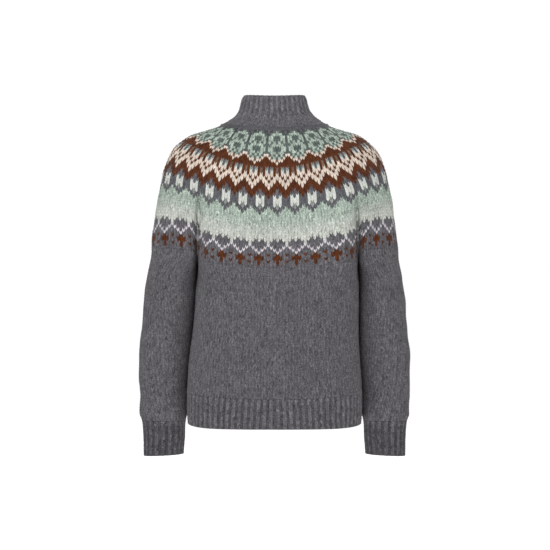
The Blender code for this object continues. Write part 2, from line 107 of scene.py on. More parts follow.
BODY = Table("height half_width back_y front_y square", (
    (-590, 169.5, 113, -125, 3),
    (-560, 171.5, 114.5, -126.5, 2.9),
    (-532, 171.8, 117, -128.5, 2.8),
    (-500, 170.2, 115.5, -127, 2.8),
    (-460, 167.2, 111.5, -124.5, 2.8),
    (-405, 160.5, 108.5, -122.5, 2.85),
    (-346, 155.2, 108.5, -123, 3),
    (-296, 152.3, 110, -124.5, 3.1),
    (-250, 149, 111, -125, 3.1),
))
SLEEVE = Table("height centre_x centre_y half_width half_depth square", (
    (-660, 221, -37, 39.4, 27, 2.2),
    (-625, 220, -34.5, 41.2, 28.5, 2.2),
    (-584, 220.2, -31, 43.6, 31.5, 2.2),
    (-574, 221, -30, 46.4, 37, 2.2),
    (-555, 221, -30, 46.6, 40.5, 2.2),
    (-523, 221.8, -29, 46.8, 43.5, 2.25),
    (-484, 220.6, -28, 48.6, 47, 2.35),
    (-444, 217.6, -26, 50.2, 51, 2.45),
    (-405, 213.4, -22, 50.1, 56, 2.5),
    (-346, 207.6, -16, 50, 63, 2.6),
    (-296, 202.6, -8, 48.4, 69, 2.6),
    (-250, 196.6, 0, 46, 72, 2.6),
))
COLLAR = Table("up half_width side_z back_y back_z front_y front_z", (
    (0, 104.5, -2.5, 74, -13.3, -84.5, -29.8),
    (1, 92, 5.5, 70.2, -6.5, -81.5, -23.5),
    (2, 79, 15, 65.8, 2.5, -78, -14),
    (3, 70.5, 26, 60.8, 15, -74, -1),
    (4, 66, 40, 56, 31, -70, 16),
    (5, 63, 52, 52.5, 46.5, -67, 33.5),
    (5.5, 59.5, 57, 50, 52, -64, 40),
))
print("sections:", len(YOKE.rows), "of the yoke,", len(BODY.rows), "of the body")

# %% [markdown]
# A fold is a soft trough across some part of the cloth, or a bulge where its
# depth is below zero.  A narrow cleft presses in the armhole creases, and the
# right crease hangs further out than the left one.

# %% Folds, walls and creases
BULGES = ((0.5, -400, 0, 40, 130, -1.8), (0.5, -505, 0, 40, 45, -2))
FOLD_COLUMNS = "around height slope half_length half_width depth"
FOLDS = {
    "body": (
        (0.15, -470, 1.2, 70, 22, 4),
        (0.87, -450, -1.1, 80, 24, 5),
        (0.06, -505, 0.2, 60, 16, 2.5),
        (0.4, -440, 0.8, 80, 24, 4),
        (0.59, -470, -0.9, 70, 22, 4),
    ),
    "sleeve_left": (
        (0.8, -335, 0.6, 36, 15, 5),
        (0.7, -410, 0.35, 40, 15, 5.5),
        (0.88, -545, 0.15, 34, 12, 3),
        (0.2, -400, -0.4, 40, 16, 4),
        *BULGES,
    ),
    "sleeve_right": (
        (0.77, -350, 0.5, 38, 16, 5),
        (0.84, -430, 0.3, 34, 14, 4.5),
        (0.69, -500, 0.3, 36, 14, 4),
        (0.24, -385, -0.3, 40, 16, 4),
        *BULGES,
    ),
}
WALL, RIB_WALL, SEAM, NECK_SEAM = 3.0, 3.2, 0.02, 0.3
HEM_TOP, HEM_RISE, RISE_POWER = -532.0, 7.0, 2
HEM_BOTTOM, HEM_CORNER, CORNER_POWER = -589.5, 3.5, 8
SLEEVE_END, CUFF_DEPTH, CUFF_SLANT = -584.0, 69.5, 0.05
BODY_TURN, SLEEVE_TURN, UNDERARM_GAP = 24.0, 15.0, 0.4
BODY_BLEND, SLEEVE_BLEND, JOIN_TURN = 70.0, 60.0, 80.0
TUCK_TURN, TUCK_DIP, TUCK_START = 22.0, 0.25, 0.7
CLEFT_ROWS, CLEFT, CLEFT_WIDTH = (0, 8, 16, 27), (14.0, 16.0, 8.0, 0.0), 3.4
BODY_PLAN, SLEEVE_PLAN, COLLAR_PLAN = (160.0, 117.0, 2.8), (60.0, 46.0, 2.3), (90.0, 74.0, 2.15)
COLLAR_SQUARE, COLLAR_TOP = 2.15, 5.5
DENSE, OVAL_DENSE = 160, 1280
TOUCH_X, CALM_WIDTH = 163.0, 28.0
DRAWN, DRAWN_X, DRAWN_WIDTH, DRAWN_REACH = -13.0, -150.0, 45.0, 300.0
DRAWN_LOW, DRAWN_FULL, DRAWN_HIGH, DRAWN_END = -480.0, -300.0, -150.0, -90.0

# %% [markdown]
# A quarter of a round of the yoke has two runs, which meet at the armhole crease.
# The body and the sleeves start on those same runs, so they always fit the yoke.

# %% Curves round the sweater
LATTICE = 720
LATTICE_SHARES = np.arange(LATTICE) / LATTICE


def ease(t):
    """0 to 1 with level ends."""
    t = np.clip(t, 0.0, 1.0)
    return t * t * (3 - 2 * t)


def lengths(points):
    """Length along a row of points, from 0."""
    steps = np.linalg.norm(np.diff(points[:, :3], axis=0), axis=1)
    return np.concatenate([[0.0], np.cumsum(steps)])


def along(points, shares):
    """Points at shares of a curve's length, pressed in by its fourth number.

    The press isn't counted in the length, so a crease takes up no stitches.
    """
    run = lengths(points)
    at = shares * run[-1]
    x, y, z, press = (np.interp(at, run, column) for column in points.T)
    return np.stack([x, y - press, z], axis=-1)


def mirrored(points):
    """A row of points on the other side of the sweater, in reverse order."""
    return points[::-1] * np.array([-1.0, 1.0, 1.0, 1.0])


def tuck(x, row):
    """How far a round of the yoke steps up at the armhole crease, over any point."""
    rise = ease((x - row.crease_x) / TUCK_TURN + 0.5)
    dip = TUCK_DIP * ease(x / (TUCK_START * row.crease_x))
    return row.tuck * ((1 - TUCK_DIP) * rise - dip * (1 - rise))


def yoke_quarter(row, facing):
    """A quarter of a round of the yoke: middle to armhole crease, crease to side."""
    r = YOKE.at(float(row))
    middle_y = r.back_y if facing > 0 else r.front_y
    middle_z = r.back_z if facing > 0 else r.front_z
    start = math.asin(r.crease_x / r.side_x)
    runs = (
        r.crease_x * np.linspace(0.0, 1.0, DENSE),
        r.side_x * np.sin(np.linspace(start, math.pi / 2, DENSE)),
    )
    low = 1 - r.crease
    pulls = (
        1 - r.crease * ease(1 - (r.crease_x - runs[0]) / BODY_TURN),
        low + (r.sleeve - low) * ease((runs[1] - r.crease_x) / SLEEVE_TURN),
    )
    depth = np.interp(row, CLEFT_ROWS, CLEFT)
    curves = []
    for x, pull in zip(runs, pulls):
        out = np.clip(x / r.side_x, 0.0, 1.0)
        share = np.maximum(1 - out**r.square, 0.0) ** (1 / r.square)
        y = r.side_y + (middle_y - r.side_y) * share * pull
        z = r.side_z + (middle_z - r.side_z) * (1 - out**2) ** r.fall + tuck(x, r)
        press = facing * depth * np.exp(-(((x - r.crease_x) / CLEFT_WIDTH) ** 2))
        curves.append(np.stack([x, y, z, press], axis=-1))
    return curves


def yoke_half(row):
    """The left half of a round of the yoke, from the back to the front."""
    back_body, back_sleeve = yoke_quarter(row, 1)
    front_body, front_sleeve = yoke_quarter(row, -1)
    return np.vstack([back_body, back_sleeve[1:], front_sleeve[::-1][1:], front_body[::-1][1:]])


def join_height(x, y):
    """Height of the row that joins body, sleeves and yoke, over any point."""
    join = YOKE.at(0.0)
    fall = (1 - np.clip(np.abs(x) / join.side_x, 0, 1) ** 2) ** join.fall
    back = join.side_z + (join.back_z - join.side_z) * fall
    front = join.side_z + (join.front_z - join.side_z) * fall
    share = np.clip(0.5 + y / JOIN_TURN, 0, 1)
    return front + (back - front) * share + tuck(np.abs(x), join)


def bridge_line(offset):
    """Under the arm, from the back crease to the front crease."""
    start, end = BACK[0][-1], FRONT[0][-1]
    line = start + (end - start) * np.linspace(0.0, 1.0, DENSE)[:, None]
    line[1:-1, 0] += offset
    return line


def oval(turn, half_width, back, front, square):
    """Plan of a squared oval; turn 0 is the back and a quarter turn the left."""
    sine, cosine = np.sin(turn), np.cos(turn)
    power = 2.0 / square
    x = half_width * np.sign(sine) * np.abs(sine) ** power
    y = np.where(cosine > 0, back, front) * np.sign(cosine) * np.abs(cosine) ** power
    return x, y


def oval_turns(half_width, half_depth, square):
    """Turns of an oval that lie at even shares of its length."""
    turn = np.linspace(0.0, 2 * math.pi, OVAL_DENSE)
    curve = oval(turn, half_width, half_depth, half_depth, square)
    run = lengths(np.column_stack([*curve, np.zeros_like(turn)]))
    return np.interp(LATTICE_SHARES * run[-1], run, turn)


BODY_TURNS, SLEEVE_TURNS, COLLAR_TURNS = (
    oval_turns(*plan) for plan in (BODY_PLAN, SLEEVE_PLAN, COLLAR_PLAN)
)
BACK, FRONT = yoke_quarter(0, 1), yoke_quarter(0, -1)
print("armhole crease at the join:", BACK[0][-1, :3].round(1))

# %% [markdown]
# ## One surface for each piece
# A piece of knitting is thousands of stitches, each at its own column and row.
# A surface holds a fine lattice of points of the worn form, and gives the point
# and the outward direction at any share of the way round and any row.  Soft
# folds are pressed into the lattice, and slow waves of half a millimetre keep it
# from looking machined, as hand knitting never lies quite flat.

# %% Waves, folds and the drawn crease
CALMEST = 0.1
WAVE_COLUMNS = "along_x along_y along_z turn height"
WAVES = (
    (0.071, 0.043, 0.052, 0.4, 0.40),
    (-0.052, 0.087, 0.096, 2.1, 0.35),
    (0.110, -0.031, -0.074, 4.0, 0.30),
    (0.033, 0.064, -0.140, 5.2, 0.25),
)


def lattice_normals(points):
    """Outward directions of a lattice of rounds that runs downwards."""
    around = np.roll(points, -1, axis=1) - np.roll(points, 1, axis=1)
    normals = np.cross(around, np.gradient(points, axis=0))
    return normals / np.linalg.norm(normals, axis=2, keepdims=True)


def uneven(points):
    """Slow waves of the cloth, in millimetres, calmer where body and sleeves touch."""
    total = np.zeros(points.shape[:-1])
    calm = np.clip(np.abs(np.abs(points[..., 0]) - TOUCH_X) / CALM_WIDTH, CALMEST, 1.0)
    for row in WAVES:
        w = named(WAVE_COLUMNS, row)
        phase = points @ np.array([w.along_x, w.along_y, w.along_z]) + w.turn
        total += w.height * np.sin(phase)
    return total * calm


def drawn(x, z):
    """How far the cloth is drawn sideways: the right armhole crease lies further out."""
    near = np.exp(-(((x - DRAWN_X) / DRAWN_WIDTH) ** 2))
    below = ease((z - DRAWN_LOW) / (DRAWN_FULL - DRAWN_LOW))
    above = ease((DRAWN_END - z) / (DRAWN_END - DRAWN_HIGH))
    return DRAWN * near * below * above


def undrawn(x):
    """Where a point of the join lay before it was drawn sideways."""
    plain = np.linspace(-DRAWN_REACH, DRAWN_REACH, LATTICE)
    return np.interp(x, plain + drawn(plain, DRAWN_FULL), plain)


def folded(points, name, folds_in, waves_in, world):
    """The lattice with the piece's soft folds pressed in, and drawn sideways."""
    closed = np.concatenate([points, points[:, :1]], axis=1)
    girth = np.linalg.norm(np.diff(closed, axis=1), axis=2).sum(axis=1)[:, None]
    run = LATTICE_SHARES[None, :] * girth
    push = np.zeros(points.shape[:2])
    for row in FOLDS.get(name, ()):
        fold = named(FOLD_COLUMNS, row)
        across = (run - fold.around * girth + girth / 2) % girth - girth / 2
        up = points[..., 2] - fold.height
        tilt = math.atan(fold.slope)
        lengthways = across * math.cos(tilt) + up * math.sin(tilt)
        sideways = up * math.cos(tilt) - across * math.sin(tilt)
        bell = (lengthways / fold.half_length) ** 2 + (sideways / fold.half_width) ** 2
        push += fold.depth * np.exp(-bell)
    place = points * np.array([world, 1.0, 1.0])
    shift = uneven(place) * waves_in[:, None] - push * folds_in[:, None]
    points = points + lattice_normals(points) * shift[..., None]
    points[..., 0] += world * drawn(world * points[..., 0], points[..., 2])
    return points


# %% [markdown]
# The right sleeve is modelled on the left and mirrored when it is finished.  Until
# then its world is -1, which tells waves and creases where it will lie.

# %% Surface
# Rows over which folds and waves fade out, at the top and the bottom of a piece.
FADES = {
    "yoke": (3.0, 2.0), "body": (2.3, 3.2), "sleeve": (1.8, 2.4),
    "hem": (1.0, 1.0), "cuff": (1.0, 1.0), "collar": (2.0, 2.0),
}


class Surface:
    """A worn form, read at shares of the way round and at rows from its top.

    It has some fine rows to each row of stitches, each a round of the lattice.
    Where an edge is joined to the next piece, the waves run on through it.
    """

    def __init__(self, name, length, fine, round_at, joined=None, world=1.0):
        rows = np.linspace(0, length, fine * length + 1)
        rounds = np.array([round_at(row) for row in rows])
        top, bottom = FADES[name.split("_")[0]]
        from_top = np.clip((rows - rows[0]) / top, 0, 1)
        from_bottom = np.clip((rows[-1] - rows) / bottom, 0, 1)
        folds_in = from_top * from_bottom
        waves_in = {"top": from_bottom, "bottom": from_top}.get(joined, folds_in)
        self.rows = rows
        self.world = world
        self.points = folded(rounds, name, folds_in, waves_in, world)
        self.normals = lattice_normals(self.points)

    def at(self, share, row):
        column = (share % 1.0) * LATTICE
        left = np.floor(column).astype(int) % LATTICE
        right = (left + 1) % LATTICE
        low = np.clip(np.searchsorted(self.rows, row) - 1, 0, len(self.rows) - 2)
        down = ((row - self.rows[low]) / (self.rows[low + 1] - self.rows[low]))[:, None]
        across = (column - np.floor(column))[:, None]
        found = []
        for grid in (self.points, self.normals):
            upper = grid[low, left] * (1 - across) + grid[low, right] * across
            lower = grid[low + 1, left] * (1 - across) + grid[low + 1, right] * across
            found.append(upper * (1 - down) + lower * down)
        point, normal = found
        return point, normal / np.linalg.norm(normal, axis=1, keepdims=True)


# %% [markdown]
# The yoke's table counts places of the form, and the knitter counts 52 rounds.
# The rounds aren't quite even, so a short list says which place each lies at, and
# near the neck the columns are spread a little towards the shoulders.

# %% Rounds of the yoke
YOKE_DEPTH = 52
ROUNDS = (0, 6, 12, 20, 23, 27, 30, 34, 37, 39, 43, 50, 52)
ROUND_PLACES = (0, 4.35, 9.2, 17.3, 20, 23.7, 26.9, 31.1, 34.4, 36.35, 40.2, 47.4, 49)
SPREAD_ROWS = (0, 30, 34, 37, 41, 45, 49)
SPREAD = (0.0, 0.0, 0.03, 0.07, 0.15, 0.2, 0.2)
FINE, FINER = 2, 4


def all_round(half):
    """A whole round from its left half."""
    return np.vstack([half, mirrored(half)[1:]])


def yoke_round(row):
    """A round of the yoke, counted down from the neck."""
    place = np.interp(YOKE_DEPTH - row, ROUNDS, ROUND_PLACES)
    spread = np.interp(place, SPREAD_ROWS, SPREAD)
    shares = LATTICE_SHARES + spread * np.sin(4 * math.pi * LATTICE_SHARES) / (4 * math.pi)
    return along(all_round(yoke_half(place)), shares)


yoke_form = Surface("yoke", YOKE_DEPTH, FINER, yoke_round, "bottom")
print("lattice of the yoke:", yoke_form.points.shape[:2])

# %% [markdown]
# The body and the sleeves start as the yoke ends, with the armhole crease, and
# turn to a plain oval on the way down.

# %% Rounds of the body and the sleeves
BODY_LENGTH, SLEEVE_LENGTH = 46, 61


def body_oval(height):
    """Plan of the body at a height."""
    b = BODY.at(height)
    return oval(BODY_TURNS, b.half_width, b.back_y, -b.front_y, b.square)


def sleeve_oval(height):
    """Plan of the left sleeve at a height, from its outside, forwards."""
    s = SLEEVE.at(height)
    y, x = oval(SLEEVE_TURNS, s.half_depth, s.half_width, s.half_width, s.square)
    return s.centre_x + x, s.centre_y - y


def hem_line(x, middle, rise, power):
    """Heights of an edge of the hem band, which rises towards its sides."""
    out = np.clip(np.abs(x) / BODY.at(middle).half_width, 0, 1)
    return middle + rise * out**power


def tube(name, curve, bottom, plan_at, blend, length, world=1.0):
    """A plain tube, from its curve at the join down to a height."""
    top = along(curve, LATTICE_SHARES)
    top[:, 2] = join_height(top[:, 0], top[:, 1]) - SEAM

    def tube_round(row):
        z = top[:, 2] + (bottom - top[:, 2]) * (row / length)
        plan = np.stack(plan_at(z), axis=-1)
        turned = ease((top[:, 2] - z) / blend)[:, None]
        return np.column_stack([top[:, :2] + (plan - top[:, :2]) * turned, z])

    return Surface(name, length, FINE, tube_round, "top", world)


hem_x = body_oval(HEM_TOP)[0]
hem_top = hem_line(hem_x, HEM_TOP, HEM_RISE, RISE_POWER)
body_top = np.vstack([BACK[0], bridge_line(-UNDERARM_GAP)[1:], FRONT[0][::-1][1:]])
sleeve_top = np.vstack([FRONT[1][::-1], bridge_line(UNDERARM_GAP)[::-1][1:], BACK[1][1:]])
body_form = tube("body", all_round(body_top), hem_top, body_oval, BODY_BLEND, BODY_LENGTH)
sleeve_forms = {
    name: tube(name, sleeve_top, SLEEVE_END, sleeve_oval, SLEEVE_BLEND, SLEEVE_LENGTH, world)
    for name, world in (("sleeve_left", 1.0), ("sleeve_right", -1.0))
}
print("rows of stitches:", BODY_LENGTH, "of the body,", SLEEVE_LENGTH, "of a sleeve")

# %% [markdown]
# The hem and the cuffs close the tubes above them and keep to the same ovals.  The
# collar has sections of its own, from its top edge down to the neck of the yoke.

# %% Rounds of the bands
HEM_LENGTH, CUFF_LENGTH, COLLAR_LENGTH = 10, 13, 17


def hem_round(row):
    """A round of the hem band, whose lower edge turns up at its two corners."""
    top, bottom = hem_top - SEAM, hem_line(hem_x, HEM_BOTTOM, HEM_CORNER, CORNER_POWER)
    z = top + (bottom - top) * (row / HEM_LENGTH)
    return np.column_stack([*body_oval(z), z])


def cuff_round(row):
    """A round of the left wrist band."""
    down = row / CUFF_LENGTH
    z = np.full(LATTICE, SLEEVE_END - SEAM - CUFF_DEPTH * down)
    x, y = sleeve_oval(z)
    slant = CUFF_SLANT * down * (SLEEVE.at(SLEEVE_END).centre_x - x)
    return np.column_stack([x, y, z + slant])


def collar_round(row):
    """A round of the collar, from its top edge down to the neck edge of the yoke."""
    c = COLLAR.at(COLLAR_TOP * (1 - row / COLLAR_LENGTH))
    x, y = oval(COLLAR_TURNS, c.half_width, c.back_y, -c.front_y, COLLAR_SQUARE)
    out = np.clip(np.abs(x) / c.half_width, 0, 1)
    middle_z = np.where(y > 0, c.back_z, c.front_z)
    return np.column_stack([x, y, c.side_z + (middle_z - c.side_z) * (1 - out**2)])


hem_form = Surface("hem", HEM_LENGTH, FINE, hem_round)
cuff_form = Surface("cuff", CUFF_LENGTH, FINE, cuff_round)
collar_form = Surface("collar", COLLAR_LENGTH, FINER, collar_round)
print("rows of ribs:", HEM_LENGTH, "of the hem,", CUFF_LENGTH, "of a cuff")

# %% [markdown]
# ## The stitch
# A knit stitch shows as a V: two legs of yarn that rise from the middle of the
# stitch to its outer edges, with a groove between columns.  It could be a
# texture, but real relief catches the light from every side.  Four faces across
# and two down are enough: the points over the legs are raised, those in the
# grooves stay low, and the middle of each stitch is drawn down by part of a row,
# which slants the legs.  In a rib every second column is a purl column, which
# sinks between the knit columns and shows small level bumps.

# %% Stitch patterns
# Columns: place across, height of the ground, how far the strand stands over it,
# and how far the point is drawn up, in rows.
KNIT = np.array((
    (0.00, -1.50, 0.20, 0.40),
    (0.25, -0.40, 0.90, 0.00),
    (0.50, -0.85, 0.50, -0.40),
    (0.75, -0.40, 0.90, 0.00),
))
RIB = np.array((
    (0.00, -1.10, -0.20, 0.00),
    (0.08, -1.15, -0.15, 0.00),
    (0.17, -1.45, 0.00, 0.15),
    (0.30, -0.05, 0.60, 0.10),
    (0.50, -0.35, 0.40, -0.35),
    (0.70, -0.05, 0.60, 0.10),
    (0.83, -1.45, 0.00, 0.15),
    (0.92, -1.15, -0.15, 0.00),
))
print("points across:", len(KNIT), "in a knit stitch,", len(RIB), "in a rib")

# %% [markdown]
# ## From a flat grid to knitting
# A zone starts as Blender's own grid, whose points are then moved onto the form.
# The map it comes with is made to count stitches and rows, for the twist of the
# yarn, and its open edges are marked, to be found and bridged later.

# %% Grids
SAME_POINT = 1e-6


def deselect_all():
    """Leave edit mode with nothing selected."""
    if bpy.context.object and bpy.context.object.mode != "OBJECT":
        bpy.ops.object.mode_set(mode="OBJECT")
    bpy.ops.object.select_all(action="DESELECT")


def numbers(collection, name, width=1, kind=float):
    """One property of all the points, edges or corners of a mesh."""
    flat = np.zeros(width * len(collection), dtype=kind)
    collection.foreach_get(name, flat)
    return flat.reshape(-1, width) if width > 1 else flat


def flat_grid(name, columns, lines, outward=True):
    """Blender's grid, with the column and the line of each of its points."""
    deselect_all()
    bpy.ops.mesh.primitive_grid_add(x_subdivisions=columns, y_subdivisions=lines, size=1.0)
    piece = bpy.context.object
    piece.name = piece.data.name = name
    flat = numbers(piece.data.vertices, "co", 3)
    side = -1 if outward else 1
    i = np.rint((0.5 + side * flat[:, 0]) * columns).astype(int)
    j = np.rint((0.5 - flat[:, 1]) * lines).astype(int)
    return piece, i, j


def place_points(piece, points, across, down, j, marks):
    """Move a grid's points onto the form, with its stitch map and its edge marks."""
    mesh = piece.data
    mesh.vertices.foreach_set("co", (points * MM).ravel())
    corner = numbers(mesh.loops, "vertex_index", kind=int)
    stitch_map = mesh.uv_layers[0]
    stitch_map.name = "stitches"
    stitch_map.data.foreach_set("uv", np.column_stack([across[corner], down[corner]]).ravel())
    mark = mesh.attributes.new("edge_mark", "INT", "POINT")
    edge = np.where(j == 0, marks[0], np.where(j == j.max(), marks[1], 0))
    mark.data.foreach_set("value", edge.astype(np.int32))
    return corner


def edit_all(piece):
    """Enter edit mode with the whole of one piece selected."""
    deselect_all()
    piece.select_set(True)
    bpy.context.view_layer.objects.active = piece
    bpy.ops.object.mode_set(mode="EDIT")
    bpy.ops.mesh.select_all(action="SELECT")


def merge_seam(piece):
    """Merge the points where a grid meets itself after going round."""
    edit_all(piece)
    bpy.ops.mesh.remove_doubles(threshold=SAME_POINT)
    bpy.ops.object.mode_set(mode="OBJECT")


# %% [markdown]
# ## Shade between the stitches
# Wool shades itself where little light gets in: in its grooves, and at the armhole
# creases, where the sleeve goes under the body.  The render finds the large
# shadows; the shade in the grooves and at the creases is painted shade, put into
# the yarn's colour.

# %% Colour and shade of the yarn
# Painted shade between the stitches: each range runs from the darkest groove to the lit top of a
# strand, as a factor on the yarn's colour.
KNIT_SHADE_RANGE, RIB_SHADE_RANGE, COLLAR_SHADE_RANGE = (0.62, 1.08), (0.55, 1.08), (0.6, 1.0)
# Painted shade along the armhole creases: the heights and places of the line, how dark it is
# painted, and how fast it fades on the body's side and on the sleeve's.
CREASE_Z = (-330.0, -300.0, -262.0, -225.0, -180.0, -140.0, -112.0)
CREASE_X = (150.0, 150.0, 149.0, 147.5, 145.0, 142.0, 140.0)
CREASE_DARK = (0.0, 0.5, 0.85, 0.8, 0.45, 0.25, 0.0)
CREASE_NEAR, CREASE_FAR = 1.8, 5.0


def colour_faces(piece, colours, shade):
    """Give each face its yarn colour, darkened by the painted shade at each of its corners.

    The fourth number of a colour is how heathered the yarn is.
    """
    colours = np.repeat(colours, 4, axis=0).astype(np.float32)
    colours[:, :3] *= np.reshape(shade, (-1, 1))
    attribute = piece.data.attributes.new("yarn", "FLOAT_COLOR", "CORNER")
    attribute.data.foreach_set("color", colours.ravel())


def groove_shade(height, tones):
    """Painted shade of the yarn, from the dark grooves up to the lit tops of the strands."""
    return np.interp(height, (height.min(), height.max()), tones)


def crease_shade(points, world):
    """Painted shade at the armhole creases, where the sleeve lies under the body."""
    line = np.interp(points[:, 2], CREASE_Z, CREASE_X)
    away = np.abs(undrawn(world * points[:, 0])) - line
    width = np.where(away < 0, CREASE_NEAR, CREASE_FAR)
    dark = np.interp(points[:, 2], CREASE_Z, CREASE_DARK)
    return 1 - dark * np.exp(-((away / width) ** 2))


# %% [markdown]
# ## A zone of stitches and its inside
# No two stitches of a hand knitter are alike, so each point is lifted a little by
# chance, and each leg of a stitch gets its own tone, more so in heathered wool.

# %% Zones and insides
STRANDS = 2
JITTER, LEVEL_SWELL = 0.09, 0.7
LEG_TONE, HEATHER_TONE, TONE_LIMITS = 0.05, 0.13, (0.55, 1.6)
chance = np.random.default_rng(46)


def knitted_zone(name, surface, marks, pattern, repeats, top, bottom, yarn,
                 open_top=0.0, open_bottom=0.0, gaps=(0.0, 0.0), warp=None, shift=0.0,
                 relief=None, tones=KNIT_SHADE_RANGE):
    """One zone of knitting: a grid whose points follow the stitches.

    yarn holds a colour for each row and stitch.  An open edge keeps some of the
    slant of its stitches, so that it meets the next piece stitch by stitch.
    """
    columns, lines = len(pattern) * repeats, STRANDS * (bottom - top)
    piece, i, j = flat_grid(name, columns, lines)
    place, base, strand, slant = pattern[i % len(pattern)].T
    share = (i // len(pattern) + place + shift) / repeats
    loose = np.ones(len(i))
    loose[j == 0] = open_top
    loose[j == lines] = open_bottom
    row = top + j / STRANDS + gaps[0] * (j == 0) - gaps[1] * (j == lines)
    jitter = chance.normal(0.0, JITTER, (lines + 1, columns))[j, i % columns]
    swell = np.where(loose == 0.0, LEVEL_SWELL, (j % STRANDS) == 1)
    height = base + strand * swell + jitter * (loose == 1.0)
    if relief is not None:
        scale, lift = relief(row / surface.rows[-1])
        height = height * scale + lift
    if warp is not None:
        share, hold = warp(share, row)
        height, slant = height * hold, slant * hold
    point, normal = surface.at(share, row - slant * loose)
    points = point + normal * height[:, None]
    corner = place_points(piece, points, i / len(KNIT), row, j, marks)
    cell = i[corner].reshape(-1, 4).min(axis=1)
    line = j[corner].reshape(-1, 4).min(axis=1)
    legs = chance.normal(0.0, 1.0, (lines // STRANDS, columns // 2))
    row_of, stitch_of, leg_of = line // STRANDS, cell // len(KNIT), cell // 2
    colours = yarn[row_of, stitch_of % yarn.shape[1]].copy()
    tone = 1 + legs[row_of, leg_of] * (LEG_TONE + HEATHER_TONE * colours[:, 3])
    colours[:, :3] *= np.clip(tone, *TONE_LIMITS)[:, None]
    # Painted shade: the yarn is darkened in the grooves between the stitches and at the armhole
    # creases.
    shade = groove_shade((base + strand * swell)[corner], tones)
    colour_faces(piece, colours, shade * crease_shade(points, surface.world)[corner])
    merge_seam(piece)
    return piece


def inside_wall(name, surface, marks, columns, lines, wall, colours, ends):
    """The plain inner side of a piece, a wall's thickness behind its form."""
    piece, i, j = flat_grid(name, columns, lines, outward=False)
    rows = surface.rows[-1] * j / lines
    point, normal = surface.at(i / columns, rows)
    points = ends(point - normal * wall, point, j == 0, j == lines, surface.world)
    corner = place_points(piece, points, i * 1.0, rows, j, marks)
    line = j[corner].reshape(-1, 4).min(axis=1)
    colour_faces(piece, colours[line * len(colours) // lines], 1.0)
    merge_seam(piece)
    return piece


# %% [markdown]
# ## From zones to one closed wall
# A piece is one or more zones of stitches outside and a plain wall inside.  They
# are joined, the seam of each grid is merged, and the open edges are bridged:
# zone to zone, and outside to inside at the two ends.  Bridging takes edges with
# different numbers of points, which is just what a knitter's decreases need.

# %% Joining, merging and bridging
def bridge_edges(piece, marks):
    """Bridge two open edges of the piece, each known by its mark."""
    mesh = piece.data
    mark = numbers(mesh.attributes["edge_mark"].data, "value", kind=np.int32)
    ends = mark[numbers(mesh.edges, "vertices", 2, int)]
    chosen = (ends[:, 0] == ends[:, 1]) & np.isin(ends[:, 0], marks)
    for parts in (mesh.vertices, mesh.polygons):
        parts.foreach_set("select", np.zeros(len(parts), dtype=bool))
    mesh.edges.foreach_set("select", chosen)
    bpy.ops.object.mode_set(mode="EDIT")
    bpy.ops.mesh.select_mode(type="EDGE")
    bpy.ops.mesh.bridge_edge_loops()
    bpy.ops.object.mode_set(mode="OBJECT")


def colour_new_faces(piece):
    """Faces that a bridge made take the yarn of their corners' other faces."""
    mesh = piece.data
    colours = numbers(mesh.attributes["yarn"].data, "color", 4, np.float32)
    corner = numbers(mesh.loops, "vertex_index", kind=int)
    known = colours[:, 3] > 0
    of_point = np.zeros((len(mesh.vertices), 4), dtype=np.float32)
    of_point[corner[known]] = colours[known]
    colours[~known] = of_point[corner[~known]]
    mesh.attributes["yarn"].data.foreach_set("color", colours.ravel())


def close_wall(name, zones, inside, bridges, mirror):
    """Join the zones and the inside into one closed piece at the origin."""
    deselect_all()
    for part in (inside, *zones):
        part.select_set(True)
    bpy.context.view_layer.objects.active = zones[0]
    bpy.ops.object.join()
    piece = bpy.context.object
    piece.name = piece.data.name = name
    for marks in bridges:
        bridge_edges(piece, marks)
    colour_new_faces(piece)
    if mirror:
        edit_all(piece)
        bpy.ops.transform.mirror(
            constraint_axis=(True, False, False), center_override=(0.0, 0.0, 0.0),
        )
        bpy.ops.mesh.flip_normals()
        bpy.ops.object.mode_set(mode="OBJECT")
    piece.data.shade_smooth()
    piece.data.attributes.remove(piece.data.attributes["edge_mark"])
    faces = sum(len(f.vertices) - 2 for f in piece.data.polygons)
    print(f"{name}: {faces} triangles")
    return piece


def knit_piece(name, surface, zones, mirror=False, **inside):
    """Knit the zones of a piece and its inside, and close them into one wall."""
    parts = [
        knitted_zone(f"{name}_zone_{n}", surface, (2 * n + 1, 2 * n + 2), **zone)
        for n, zone in enumerate(zones)
    ]
    last = 2 * len(zones)
    inner = inside_wall(f"{name}_inside", surface, (last + 1, last + 2), **inside)
    bridges = [(2 * n, 2 * n + 1) for n in range(1, len(zones))]
    bridges += [(1, last + 1), (last, last + 2)]
    return close_wall(f"knit_{name}", parts, inner, bridges, mirror)


# %% [markdown]
# ## Yarns
# The ground is a heathered grey wool, spun from lighter and darker fibres.  The
# colourwork is in brown, cream, lilac white, sage, and two greys.  The hem and the
# cuffs take darker copies of the ground, which are painted shade, and the darkest
# grey at the neck is partly painted shade under the collar.  Each is given as it
# looks in daylight and turned into the linear numbers that light needs.

# %% Yarn colours
PLAIN, HEATHERED = 0.25, 1.0


def yarn_colour(red, green, blue, heather):
    """A yarn from its daylight colour, 0 to 255."""
    values = np.array([red, green, blue]) / 255
    linear = np.where(values <= 0.04045, values / 12.92, ((values + 0.055) / 1.055) ** 2.4)
    return np.array([*linear, heather])


